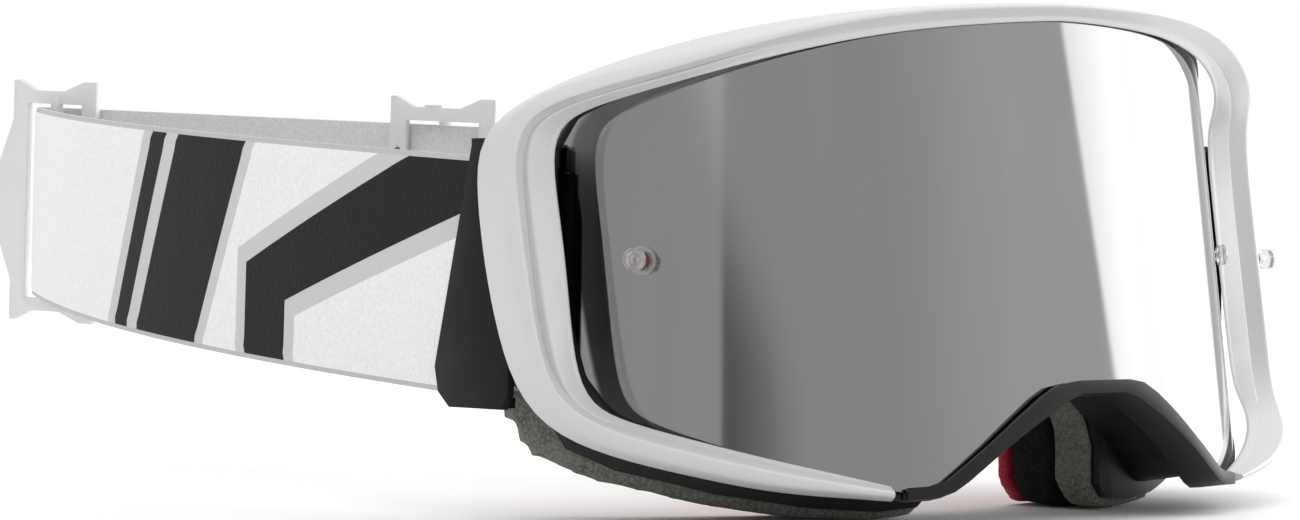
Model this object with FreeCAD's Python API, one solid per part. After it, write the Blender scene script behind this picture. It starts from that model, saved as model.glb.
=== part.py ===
import FreeCAD, Part
import math
import os

from FreeCAD import Base

# Off-road riding goggles: a two-part frame with a mirrored cylindrical lens, layered
# face foam and a wide elastic strap on two swivelling outrigger clips.
# Millimetres. +Z is up, -Y is forward (the way the wearer looks), -X is the wearer's right.
# The origin is the middle of the face seal, level with the tear-off posts.

os.makedirs("parts", exist_ok=True)
V = FreeCAD.Vector
UP = V(0, 0, 1)
NO_TURN = V(0, 0, 0)

# ---- driving dimensions ----
LENS_R = 82.0          # radius of the lens cylinder
LENS_THICK = 1.2
LENS_LEAN = 8.0        # the top of the lens leans back, degrees
SEAL_TO_LENS = 44.0    # from the face seal forward to the lens
FACE_R = 90.0          # plan radius of the face side of the frame
FRAME_Y = 18.0         # flange of the inner frame, behind the front of the lens
FLANGE_THICK = 2.2
FOAM_LAYERS = (("foam_front", 9.0), ("foam_middle", 12.5), ("face_fleece", 4.5))
FOAM_FACE_WIDTH = 14.0
SEAL_THICK = 1.2       # foam strip that the lens rests on
LEDGE_THICK = 1.6      # ledge of the inner frame behind that strip
RIM_WALL = 1.2
NOSE_RIM_PROUD = 3.4

POST_ANGLE = 60.2      # tear-off posts, either side of the middle of the lens
POST_V = 5.4
POST_SHAFT_R = 0.95
POST_HEAD_R = 2.1
POST_REACH = 5.0

STRAP_WIDTH = 45.6
STRAP_THICK = 1.6
STRAP_RISE = 3.2       # the strap climbs towards the back of the head, degrees
STRAP_PIVOT = V(0, 36.0, -2.8)
STRAP_HALF_SPAN = 88.85
NEAR_R = 600.0         # bend of the right side of the strap, seen from above
NEAR_TURN = 24.5
FAR_R = 150.0          # bend of the left side where it meets its clip
FOLD_R = 4.3           # middle of the strap round the rear slider's bar
UNDER_R = 2.4          # middle of the sewn end that lies under the fold
BAND_START = 5.0
LEFT_SLIDER_AT = 101.0

PIN_X = 87.2
PIN_Y = 16.0
PIN_R = 1.2
PIN_PLAY = 0.05
BARREL_R = 3.0
BARREL_LOW = -19.5
BARREL_HIGH = 16.5
CLIP_TOP = 22.4
CLIP_LOW = -28.0

# Half of the lens outline on its cylinder: (distance round the lens, height), top to nose.
LENS_HALF = [(0, 46.0), (34, 44.6), (57, 41.6), (74, 38.8), (88, 36.0), (97.0, 33.4), (102.2, 27.5),
             (103.0, 20), (102.2, -4), (100.0, -14.5), (95.0, -21.2), (87, -25.5), (68, -33.4), (52, -38.6),
             (41.0, -41.6), (36.8, -41.6), (33.7, -40.6), (30.3, -38.3), (24.6, -34.3), (18.7, -29.9),
             (13.7, -26.4), (10.0, -24.4), (6.2, -23.9)]
# The nose arch of the inner frame: upper edge against the lens, and lower edge.
ARCH_UPPER = [(41.2, -40.9), (36.8, -40.9), (33.7, -40.0), (30.3, -37.7), (24.6, -33.7), (18.7, -29.3),
              (13.7, -25.8), (10.0, -23.8), (6.2, -23.2)]
ARCH_LOWER = [(41.2, -43.1), (35.7, -43.2), (32.8, -42.3), (30.0, -40.6), (25.0, -37.0), (20.8, -34.1),
              (15.4, -30.7), (8.3, -26.7), (5.2, -25.6)]

# Cross-sections of the outer frame from the middle of its top to its end beside the nose.
# Each corner is (distance round the lens, height, distance out from the lens):
# inner edge, groove, ridge, outer front edge, outer rear edge.
FRAME_SECTIONS = [
    ((0, 44.9, 1.0), (0, 45.6, 1.6), (0, 46.9, 5.0), (0, 47.4, 4.0), (0, 48.9, -3.0)),
    ((34, 43.3, 1.3), (34, 44.5, 1.8), (35, 45.9, 5.9), (35, 46.7, 4.8), (33, 48.3, -2.5)),
    ((57, 40.4, 2.4), (57, 41.9, 3.2), (57, 42.8, 8.1), (57, 44.1, 6.8), (57, 47.0, -0.4)),
    ((74, 37.4, 4.1), (74.5, 38.7, 5.5), (72.5, 39.1, 10.7), (73, 41.0, 9.2), (74, 44.6, 2.8)),
    ((88, 34.8, 6.2), (89, 35.6, 9.0), (86, 36.6, 13.6), (88, 39.2, 11.8), (88, 41.6, 6.7)),
    ((95.8, 32.4, 7.7), (98.0, 33.0, 12.0), (96.5, 33.8, 16.7), (99.0, 36.2, 15.2), (101.5, 36.6, 12.2)),
    ((98.4, 27.0, 8.3), (101.0, 27.0, 13.2), (100, 28.0, 17.7), (102.5, 29.0, 17.8), (108.6, 30.5, 15.2)),
    ((97.8, 7.0, 8.1), (101.1, 7.0, 13.2), (99.7, 7.0, 17.6), (102, 7.0, 18.2), (109.1, 7.0, 15.6)),
    ((97.4, -14, 8.1), (99.8, -13, 13.2), (98.3, -13, 17.2), (100.3, -14, 17.4), (106.2, -15.0, 14.6)),
    ((95.0, -20.6, 7.5), (96.2, -20.5, 11.3), (96.0, -20.5, 16.2), (97.8, -23.5, 15.2), (101.6, -24.2, 12.6)),
    ((88, -24.8, 6.2), (88.5, -25.5, 9.0), (88, -26.8, 14.0), (89, -29.6, 12.6), (91, -31.0, 7.8)),
    ((68, -32.5, 3.4), (68, -33.3, 4.8), (66, -35.6, 9.5), (66.3, -38.0, 8.1), (67, -39.2, 1.4)),
    ((53, -37.4, 2.2), (53, -38.1, 3.2), (52, -39.6, 6.8), (52, -40.9, 5.8), (51.5, -41.8, -1.0)),
    ((41.6, -41.0, 1.5), (41.6, -41.4, 2.2), (41.6, -42.0, 4.0), (41.6, -42.7, 3.4), (41.6, -43.3, -2.0)),
]
FRAME_STEP = 9.0       # longest stretch between two cross-sections
RIDGE_DEPTH = 4.2      # from the ridge to the back of the moulding
LIP_THICK = 0.7
REAR_WALL = 1.4

# Half of the face foam's outline, seen from the front: (x, z), top to nose.
FOAM_HALF = [(0, 43.5), (38, 41), (60, 36), (71, 30.5), (78, 23), (80.5, 0), (80, -30), (77.5, -37), (71, -41.5),
             (57, -46), (43, -48.5), (31.5, -49.3), (23, -48.5), (19.5, -44.5), (19.5, -37), (17, -31), (11, -27),
             (0, -26)]
# The two rear layers are cut closer in at the temples.
FOAM_REAR_HALF = [(0, 42), (38, 39.5), (58, 34.5), (67, 28), (73, 20), (75.5, 6), (75.5, -12), (73.5, -24),
                  (69, -33), (62, -39), (52, -44), (43, -47)] + FOAM_HALF[11:]
FLANGE_INSET = 2.0


# ---- placing ----
def at_front(shape):
    """Leans a shape made in the lens's own upright frame back into place."""
    placed = shape.copy()
    placed.rotate(NO_TURN, V(1, 0, 0), -LENS_LEAN)
    placed.translate(V(0, -SEAL_TO_LENS, 0))
    return placed


def at_strap(shape):
    """Tips a shape made level with the clips so that it climbs towards the back."""
    placed = shape.copy()
    placed.rotate(NO_TURN, V(1, 0, 0), STRAP_RISE)
    placed.translate(STRAP_PIVOT)
    return placed


def mirrored(shape):
    return shape.mirror(NO_TURN, V(1, 0, 0))


def export(name, shape):
    solids = len(shape.Solids)
    print("%-22s %2d solid(s) %9.1f mm3 valid=%s" % (name, solids, shape.Volume, shape.isValid()))
    shape.exportStep("parts/%s.step" % name)


def fused(shapes):
    whole = shapes[0].fuse(shapes[1:]) if len(shapes) > 1 else shapes[0]
    return whole.removeSplitter()


# ---- outlines ----
def whole_outline(half):
    """Closes half an outline with its mirror image."""
    left = [(-s, v) for s, v in reversed(half) if s > 0]
    return list(half) + left


def grown(points, reach):
    """Moves each point of a clockwise outline outwards by reach."""
    moved = []
    count = len(points)
    for i, (s, v) in enumerate(points):
        s0, v0 = points[i - 1]
        s1, v1 = points[(i + 1) % count]
        length = math.hypot(s1 - s0, v1 - v0)
        moved.append((s - reach * (v1 - v0) / length, v + reach * (s1 - s0) / length))
    return moved


def on_lens(s, v, out):
    """A point beside the lens: s round it, v up, out from its front."""
    angle = s / LENS_R
    radius = LENS_R + out
    return V(radius * math.sin(angle), LENS_R - radius * math.cos(angle), v)


def bent_plate(points, inner, outer):
    """A plate that follows the lens, between two distances from the lens's front."""
    surface = Part.Cylinder()
    surface.Radius = LENS_R + inner
    surface.Center = V(0, LENS_R, 0)
    flat = [Base.Vector2d(1.5 * math.pi + s / LENS_R, v) for s, v in points]
    edges = []
    for i, start in enumerate(flat):
        edges.append(Part.Geom2d.Line2dSegment(start, flat[(i + 1) % len(flat)]).toShape(surface))
    face = Part.Face(surface, Part.Wire(edges))
    face.validate()
    return face.makeOffsetShape(outer - inner, 0.01, fill=True)


def bent_ring(outer_points, inner_points, inner, outer):
    hole = bent_plate(inner_points, inner - 1, outer + 1)
    return bent_plate(outer_points, inner, outer).cut(hole)


def flat_face(points, y):
    corners = [V(x, y, z) for x, z in points]
    return Part.Face(Part.makePolygon(corners + corners[:1]))


# ---- lens group ----
LENS_OUTLINE = whole_outline(LENS_HALF)
LENS_BACK = -LENS_THICK
SEAL_BACK = LENS_BACK - SEAL_THICK
LEDGE_BACK = SEAL_BACK - LEDGE_THICK
SEAL_WIDTH = 3.5
LEDGE_WIDTH = 4.0
POCKET_PLAY = 0.25
WALL_INSET = 1.2       # of the funnel walls, inside the lens's edge
WALL_THICK = 2.0
TOP_VENT_TURN = 25.0
TOP_VENT_WIDE = 26.0
NOSE_SLOPE = 37.2      # of the walls beside the nose, degrees
NOSE_VENT_X = 25.5
NOSE_VENT_Z = -32.3
NOSE_PAD_LIFT = 2.2


def radial(shape, degrees):
    """Turns a shape made in front of the lens's middle round the lens's axis."""
    turned = shape.copy()
    turned.rotate(V(0, LENS_R, 0), UP, degrees)
    return turned


def round_bar(radius, start, end, height):
    """A round bar that points forward from the lens, from start to end in front of it."""
    return Part.makeCylinder(radius, end - start, V(0, -start, height), V(0, -1, 0))


def make_lens():
    lens = bent_plate(LENS_OUTLINE, LENS_BACK, 0)
    for side in (-1, 1):
        hole = round_bar(POST_SHAFT_R + PIN_PLAY, LENS_BACK - 2, 2, POST_V)
        lens = lens.cut(radial(hole, side * POST_ANGLE))
    return lens


def make_post():
    """Clear tear-off post: a foot on the lens, a waist for the film and a mushroom head."""
    foot = round_bar(2.7, 0.1, 0.9, POST_V)
    shaft = round_bar(POST_SHAFT_R, -4.2, POST_REACH - 1.2, POST_V)
    head = round_bar(POST_HEAD_R, POST_REACH - 1.6, POST_REACH - 0.4, POST_V)
    crown = Part.makeCone(POST_HEAD_R, POST_HEAD_R - 0.6, 0.4, V(0, 0.4 - POST_REACH, POST_V), V(0, -1, 0))
    return fused([shaft, foot, head, crown])


def make_post_ring():
    ring = round_bar(1.75, 0.95, 2.05, POST_V)
    return ring.cut(round_bar(POST_SHAFT_R + 0.03, 0, 3, POST_V))


def make_post_nut():
    nut = round_bar(2.6, -3.3, LENS_BACK - 0.4, POST_V)
    return nut.cut(round_bar(POST_SHAFT_R + 0.03, -5, 0, POST_V))


# ---- frame ----
def in_frame_section(corners):
    """Closes one cross-section of the outer frame with its inner side."""
    inner, groove, ridge, front, rear = corners
    at_wing = abs(rear[1]) < 35 and rear[0] > 100
    lift = 0 if at_wing else -math.copysign(REAR_WALL, rear[1])
    shift = REAR_WALL if at_wing else 0
    back = [(rear[0] - shift, rear[1] + lift, rear[2] - shift),
            (ridge[0], ridge[1] + 0.5 * lift, max(ridge[2] - RIDGE_DEPTH, inner[2] - LIP_THICK)),
            (inner[0], inner[1], inner[2] - LIP_THICK)]
    loop = [on_lens(*corner) for corner in [inner, groove, ridge, front, rear] + back]
    return Part.makePolygon(loop + loop[:1])


def blended(before, start, end, after, share):
    """A smooth value between start and end, as on a curve through all four."""
    slope_start = (end - before) / 2.0
    slope_end = (after - start) / 2.0
    step = share * share * (3 - 2 * share)
    rise = share * (1 - share) ** 2 * slope_start
    fall = share * share * (1 - share) * slope_end
    return start + (end - start) * step + rise - fall


def close_sections():
    """Fills in cross-sections so that no stretch is longer than FRAME_STEP."""
    count = len(FRAME_SECTIONS)
    filled = []
    for i in range(count - 1):
        around = [FRAME_SECTIONS[min(max(k, 0), count - 1)] for k in range(i - 1, i + 3)]
        reach = math.dist(around[1][2], around[2][2])
        pieces = max(1, math.ceil(reach / FRAME_STEP))
        for k in range(pieces):
            corners = []
            for values in zip(*around):
                corners.append(tuple(blended(*four, k / pieces) for four in zip(*values)))
            filled.append(corners)
    return filled + [FRAME_SECTIONS[-1]]


def make_outer_frame():
    wires = [in_frame_section(corners) for corners in close_sections()]
    mirror_wires = [mirrored(wire) for wire in reversed(wires[1:])]
    return Part.makeLoft(mirror_wires + wires, True, True)


def face_cylinder(y):
    """The upright cylinder whose front surface passes y behind the lens."""
    return Part.makeCylinder(FACE_R, 200, V(0, y + FACE_R - SEAL_TO_LENS, -100))


def face_layer(outline_face, start, end):
    """The part of a prism that lies between two surfaces curved to the face."""
    prism = outline_face.extrude(V(0, 105, 0))
    return prism.common(face_cylinder(start)).cut(face_cylinder(end))


def ring_face(points, outer_inset, inner_inset, y):
    """A flat ring between two insets of an outline."""
    whole = flat_face(points, y)
    outer = whole.makeOffset2D(-outer_inset) if outer_inset else whole
    return outer.cut(whole.makeOffset2D(-inner_inset))


def make_foam_layers():
    depth = FRAME_Y
    layers = []
    for name, thick in FOAM_LAYERS:
        half = FOAM_HALF if name == "foam_front" else FOAM_REAR_HALF
        ring = ring_face(whole_outline(half), 0, FOAM_FACE_WIDTH, -SEAL_TO_LENS - 10)
        layers.append((name, face_layer(ring, depth, depth + thick)))
        depth += thick
    return layers


def lens_pocket():
    """The room that the lens and its seal take up."""
    return bent_plate(grown(LENS_OUTLINE, POCKET_PLAY), SEAL_BACK, POCKET_PLAY + 1)


def make_funnel():
    """Walls from the lens ledge back to the flange, with vents above and beside the nose."""
    window = [(LENS_R * math.sin(s / LENS_R), v) for s, v in grown(LENS_OUTLINE, -WALL_INSET)]
    outer = flat_face(window, -20)
    tube = outer.cut(outer.makeOffset2D(-WALL_THICK)).extrude(V(0, 110, 0))
    tube = tube.common(Part.makeCylinder(LENS_R + SEAL_BACK - 0.2, 200, V(0, LENS_R, -100)))
    for turn in (-TOP_VENT_TURN, 0, TOP_VENT_TURN):
        slot = Part.makeBox(TOP_VENT_WIDE, 2.6, 30, V(-TOP_VENT_WIDE / 2.0, 5.2, 30))
        tube = tube.cut(radial(slot, turn))
    for side in (-1, 1):
        tube = tube.cut(nose_block(side, 12.0, 8.0, 9.0, 11.0))
    return at_front(tube)


def nose_block(side, along, thick, start, end):
    """A block across the wall beside the nose, from start to end behind the lens."""
    block = Part.makeBox(along, end - start, thick, V(-along / 2.0, start, -thick / 2.0))
    block.rotate(NO_TURN, V(0, 1, 0), NOSE_SLOPE)
    block.translate(V(NOSE_VENT_X, 0, NOSE_VENT_Z))
    return block if side > 0 else mirrored(block)


def make_inner_frame(outer_frame):
    """Soft frame: lens ledge and rim, nose arch, funnel walls, flange and the clip arms."""
    inner_edge = grown(LENS_OUTLINE, -LEDGE_WIDTH)
    ledge = bent_ring(grown(LENS_OUTLINE, POCKET_PLAY), inner_edge, LEDGE_BACK, SEAL_BACK)
    rim = bent_plate(grown(LENS_OUTLINE, POCKET_PLAY + RIM_WALL), LEDGE_BACK, POCKET_PLAY)
    rim = rim.cut(bent_plate(grown(LENS_OUTLINE, -LEDGE_WIDTH), LEDGE_BACK - 1, POCKET_PLAY + 1))
    upper = [(-s, v) for s, v in ARCH_UPPER]
    lower = [(-s, v) for s, v in ARCH_LOWER]
    arch_points = ARCH_UPPER + upper[::-1] + lower + ARCH_LOWER[::-1]
    arch = bent_plate(arch_points, LEDGE_BACK, NOSE_RIM_PROUD)
    flange_ring = ring_face(whole_outline(FOAM_HALF), FLANGE_INSET, FOAM_FACE_WIDTH - 1, -SEAL_TO_LENS - 10)
    flange = face_layer(flange_ring, FRAME_Y - FLANGE_THICK, FRAME_Y)
    funnel = make_funnel().cut(face_cylinder(FRAME_Y - FLANGE_THICK / 2.0))
    arms = make_pin_arms()
    arms += [mirrored(arm) for arm in arms]
    body = fused([at_front(fused([ledge, rim, arch])), funnel, flange] + arms)
    body = body.cut([at_front(lens_pocket()), outer_frame, make_foam_layers()[0][1]])
    return max(body.Solids, key=lambda solid: solid.Volume)


def make_vent_foams():
    """Thin open-cell pads inside the vents, above the lens and beside the nose."""
    crest = [(s, v) for s, v in LENS_OUTLINE if abs(s) < 50 and v > 0]
    crest.sort(reverse=True)
    shallow = [(s, v - 3.7) for s, v in crest]
    deep = [(s, v - 5.7) for s, v in crest[::-1]]
    pads = {"vent_foam_top": bent_plate(shallow + deep, -8.4, LEDGE_BACK - 0.2)}
    for side, label in ((-1, "right"), (1, "left")):
        block = nose_block(side, 14.0, 2.0, 10.5, 20.5)
        block.translate(V(side * 0.604, 0, 0.797) * NOSE_PAD_LIFT)
        pads["vent_foam_nose_" + label] = block
    return pads


def make_lens_seal():
    """Foam strip behind the lens, trimmed where the face foam begins."""
    inner_edge = grown(LENS_OUTLINE, -SEAL_WIDTH)
    strip = bent_ring(grown(LENS_OUTLINE, -0.3), inner_edge, SEAL_BACK + 0.05, LENS_BACK - 0.02)
    return at_front(strip).cut(face_cylinder(FRAME_Y - 0.1))


# ---- third post, on the left wing of the outer frame ----
WING_X = 94.9
SIDE_POST_Y = 53.6
SIDE_POST_V = 6.2


def side_bar(radius, start, end, height=SIDE_POST_V):
    """A round bar that points out of the left wing."""
    return Part.makeCylinder(radius, end - start, V(WING_X + start, SIDE_POST_Y, height), V(1, 0, 0))


def make_side_post():
    plate = Part.makeBox(1.5, 6.4, 10.4, V(WING_X + 0.15, SIDE_POST_Y - 3.2, SIDE_POST_V - 6.6))
    edges = [e for e in plate.Edges if abs(e.Vertexes[0].X - e.Vertexes[-1].X) > 1]
    plate = plate.makeFillet(2.2, edges)
    plug = side_bar(1.5, 1.65, 2.5, SIDE_POST_V - 4.0)
    collar = side_bar(2.1, 1.65, 2.9).cut(side_bar(POST_SHAFT_R + 0.03, 0, 5))
    post = fused([side_bar(POST_SHAFT_R, 1.65, 7.0), side_bar(POST_HEAD_R, 6.0, 7.6)])
    return {"side_post_base": plate, "side_post_plug": plug, "side_post_collar": collar, "side_post": post}


# ---- outrigger clips, for the right side; the left is the mirror image ----
BAR_X = 86.4
BAR_Y = 24.5
BAR_R = 1.5
PLATE_X = 91.2
PLATE_THICK = 1.4
ARM_HALF = 2.2
LOOP_TAIL = 14.0
WEB_THICK = 2.0


def upright(radius, x, y, low, high):
    return Part.makeCylinder(radius, high - low, V(-x, y, low))


def make_clip():
    """Cover plate, barrel on the pin and the bar that the strap is sewn round."""
    corners = [(15.4, CLIP_TOP - 1.5), (16.8, CLIP_TOP), (23.8, CLIP_TOP), (36.5, -20.5), (35.4, -25.2),
               (31.8, CLIP_LOW), (14.5, CLIP_LOW), (12.5, CLIP_LOW + 3), (12.5, 8)]
    plate = Part.makePolygon([V(-PLATE_X, y, z) for y, z in corners + corners[:1]])
    plate = Part.Face(plate).extrude(V(PLATE_THICK, 0, 0))
    barrel = upright(BARREL_R, PIN_X, PIN_Y, BARREL_LOW, BARREL_HIGH)
    bar = upright(BAR_R, BAR_X, BAR_Y, CLIP_LOW, CLIP_TOP)
    webs = []
    web_x = PLATE_X - PLATE_THICK / 2.0
    for z in (CLIP_LOW, CLIP_TOP - WEB_THICK):
        webs.append(Part.makeBox(web_x - BAR_X + BAR_R, BAR_Y - PIN_Y - 2.3, WEB_THICK, V(-web_x, PIN_Y + 3.0, z)))
    body = fused([plate, barrel, bar] + webs)
    return body.cut(upright(PIN_R + PIN_PLAY, PIN_X, PIN_Y, -60, 60))


PIN_LOW = BARREL_LOW - 5.0
PIN_HIGH = BARREL_HIGH + 4.4


def make_pin():
    head = upright(2.0, PIN_X, PIN_Y, PIN_HIGH, PIN_HIGH + 0.8)
    return fused([upright(PIN_R, PIN_X, PIN_Y, PIN_LOW, PIN_HIGH), head])


def make_pin_arms():
    """Two arms of the inner frame that hold the ends of the pin, above and below the clip."""
    arms = []
    for low, high in ((PIN_LOW + 0.8, BARREL_LOW - 0.4), (BARREL_HIGH + 0.4, PIN_HIGH - 0.1)):
        arm = Part.makeBox(PIN_X - 76.0, 2 * ARM_HALF, high - low, V(-PIN_X, PIN_Y - ARM_HALF, low))
        eye = upright(ARM_HALF, PIN_X, PIN_Y, low, high)
        arms.append(fused([arm, eye]).cut(upright(PIN_R, PIN_X, PIN_Y, -60, 60)))
    return arms


def sewn_end(bar_r, tail, width):
    """A strap end folded round a bar at the origin, its sewn tail running along +X."""
    outer = bar_r + 0.15 + STRAP_THICK
    ring = Part.makeCylinder(outer, width, V(0, 0, -width / 2.0))
    tail_box = Part.makeBox(tail, STRAP_THICK, width, V(0, outer - STRAP_THICK, -width / 2.0))
    return fused([ring, tail_box]).cut(Part.makeCylinder(bar_r + 0.15, width + 2, V(0, 0, -width / 2.0 - 1)))


def make_strap_loop():
    loop = sewn_end(BAR_R, LOOP_TAIL, STRAP_WIDTH - 1.6)
    loop.rotate(NO_TURN, UP, 90)
    loop.translate(V(-BAR_X, BAR_Y, STRAP_PIVOT.z))
    return loop


# ---- strap, laid out level and then tipped ----
NEAR = math.radians(NEAR_TURN)
NEAR_END = V(-STRAP_HALF_SPAN + NEAR_R * (1 - math.cos(NEAR)), BAND_START + NEAR_R * math.sin(NEAR), 0)
NEAR_OUT = V(-math.cos(NEAR), math.sin(NEAR), 0)
FOLD = NEAR_END - NEAR_OUT * FOLD_R


def far_angle():
    """Turn of the left bend that makes the straight beyond it reach the fold."""
    low, high = 0.1, 1.2
    for _ in range(60):
        turn = (low + high) / 2
        bend_end = V(STRAP_HALF_SPAN - FAR_R * (1 - math.cos(turn)), BAND_START + FAR_R * math.sin(turn), 0)
        along = V(math.sin(turn), -math.cos(turn), 0)
        out = V(math.cos(turn), math.sin(turn), 0)
        target = FOLD + out * UNDER_R
        if (bend_end - target).dot(out) > 0:
            low = turn
        else:
            high = turn
    return turn, along, out, bend_end


FAR, ALONG, OUT, BEND_END = far_angle()


def ribbon(edges, start, tangent, width):
    """Sweeps the strap's flat section along a plan path."""
    side = V(-tangent.y, tangent.x, 0) * (STRAP_THICK / 2.0)
    half = UP * (width / 2.0)
    corners = [start + side + half, start - side + half, start - side - half, start + side - half]
    section = Part.makePolygon(corners + corners[:1])
    return Part.Wire(edges).makePipeShell([section], True, False)


def arc(centre, radius, start, end):
    """Plan arc between two angles in degrees."""
    middle = (start + end) / 2.0
    points = []
    for angle in (start, middle, end):
        turn = math.radians(angle)
        points.append(centre + V(radius * math.cos(turn), radius * math.sin(turn), 0))
    return Part.Arc(*points).toShape(), points


def make_bands():
    """Right band, fold round the rear slider, its end beyond the fold, and the left band."""
    centre = V(-STRAP_HALF_SPAN + NEAR_R, BAND_START, 0)
    stop = 180 - NEAR_TURN + 0.6
    near, points = arc(centre, NEAR_R, 180, stop)
    right = ribbon([near], points[0], V(0, 1, 0), STRAP_WIDTH)
    turn_start = math.degrees(math.atan2(NEAR_OUT.y, NEAR_OUT.x))
    bend, points = arc(FOLD, FOLD_R, turn_start, math.degrees(FAR))
    tail = Part.makeLine(points[2], points[2] + ALONG * 4)
    fold = ribbon([bend, tail], points[0], V(math.cos(NEAR), math.sin(NEAR), 0) * -1, STRAP_WIDTH)
    over = FOLD + OUT * FOLD_R
    start = over + ALONG * 5
    beyond = ribbon([Part.makeLine(start, over + ALONG * (LEFT_SLIDER_AT - 5))], start, ALONG, STRAP_WIDTH)
    start = FOLD + OUT * UNDER_R + ALONG * 8
    centre = V(STRAP_HALF_SPAN - FAR_R, BAND_START, 0)
    curve, points = arc(centre, FAR_R, math.degrees(FAR), 0)
    left = ribbon([Part.makeLine(start, points[0]), curve], start, ALONG, STRAP_WIDTH)
    return {"strap_right": right, "strap_fold": fold, "strap_overlap": beyond, "strap_left": left}


# ---- sliders, drawn with the strap along X and its outside towards +Y ----
SLIDER_HALF_HIGH = 29.0
WINDOW_HALF = STRAP_WIDTH / 2 + 0.7
SLIDER_THICK = 2.2


def slider_body(front_x, flare):
    """Flange with a grip flare, ears above and below the strap, and a front bar."""
    top = SLIDER_HALF_HIGH
    half = [(front_x, top), (front_x - 3.5, top), (front_x - 9.0, top - 2.4), (-4.5, top - 2.4), (-9.0, top),
            (-10.4, top), (-10.4, 19.5), (-10.4 - flare, 9.0)]
    points = half + [(x, -z) for x, z in reversed(half)]
    plate = Part.Face(Part.makePolygon([V(x, -SLIDER_THICK / 2, z) for x, z in points + points[:1]]))
    plate = plate.extrude(V(0, SLIDER_THICK, 0))
    window = Part.makeBox(front_x - 4.0 + 6.4, 10, 2 * WINDOW_HALF, V(-6.4, -5, -WINDOW_HALF))
    return plate.cut(window)


def to_slider(shape, along):
    """Sets a slider drawn at the origin on the straight of the strap."""
    placed = shape.copy()
    placed.rotate(NO_TURN, UP, math.degrees(FAR) - 90)
    placed.translate(FOLD + ALONG * along)
    return placed


def make_rear_slider():
    bar = Part.makeCylinder(BAR_R, 2 * SLIDER_HALF_HIGH - 6, V(0, 0, 3 - SLIDER_HALF_HIGH))
    loop = sewn_end(BAR_R, 6.5, STRAP_WIDTH)
    body = slider_body(12.5, 3.6)
    body.translate(V(-1, 0, 0))
    return to_slider(fused([body, bar]), 0), to_slider(loop, 0)


def make_left_slider():
    """The strap lies behind the flange and front bar; its sewn end goes round a rear bar."""
    body = slider_body(16.5, 0.0)
    for z in (8.5, 12.5, 16.5):
        hole = Part.makeCylinder(0.75, 6, V(-8.4, -3, z), V(0, 1, 0))
        body = body.cut(hole)
    bar_y = FOLD_R + UNDER_R
    bar = Part.makeCylinder(BAR_R, 2 * SLIDER_HALF_HIGH - 4, V(0, bar_y, 2 - SLIDER_HALF_HIGH))
    posts = [Part.makeBox(4.4, bar_y + BAR_R, 3.0, V(-2.2, 0, z)) for z in (WINDOW_HALF + 0.6, -WINDOW_HALF - 3.6)]
    loop = sewn_end(BAR_R, 3.5, STRAP_WIDTH).mirror(NO_TURN, V(0, 1, 0)).mirror(NO_TURN, V(1, 0, 0))
    loop.translate(V(0, bar_y, 0))
    return to_slider(fused([body, bar] + posts), LEFT_SLIDER_AT), to_slider(loop, LEFT_SLIDER_AT)


if __name__ == "__main__":
    outer_frame = at_front(make_outer_frame())
    export("outer_frame", outer_frame)
    export("inner_frame", make_inner_frame(outer_frame))
    export("lens", at_front(make_lens()))
    export("lens_seal", make_lens_seal())
    for side, label in ((-1, "right"), (1, "left")):
        export("tearoff_post_" + label, at_front(radial(make_post(), side * POST_ANGLE)))
        export("post_ring_" + label, at_front(radial(make_post_ring(), side * POST_ANGLE)))
        export("post_nut_" + label, at_front(radial(make_post_nut(), side * POST_ANGLE)))
    for name, piece in make_side_post().items():
        export(name, at_front(piece))
    for name, pad in make_vent_foams().items():
        export(name, at_front(pad))
    for name, layer in make_foam_layers():
        export(name, layer)
    for name, piece in (("strap_clip", make_clip()), ("clip_pin", make_pin()), ("strap_loop", make_strap_loop())):
        export(name + "_right", piece)
        export(name + "_left", mirrored(piece))
    for name, band in make_bands().items():
        export(name, at_strap(band))
    for name, made in (("slider_rear", make_rear_slider()), ("slider_left", make_left_slider())):
        export(name, at_strap(made[0]))
        export(name + "_loop", at_strap(made[1]))
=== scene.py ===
# %% [markdown]
# # Off-road riding goggles
# A white two-part frame holds a mirrored cylindrical lens in front of three layers of foam.
# Two black clips swivel on pins and pull a wide printed elastic strap round the head.
# The design's parts are loaded first; the bodies that the pieces ride on are made as empties when first
# needed.

# %% Load the frame
import math
import bpy
import bmesh
from mathutils import Matrix, Vector, noise


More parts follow.
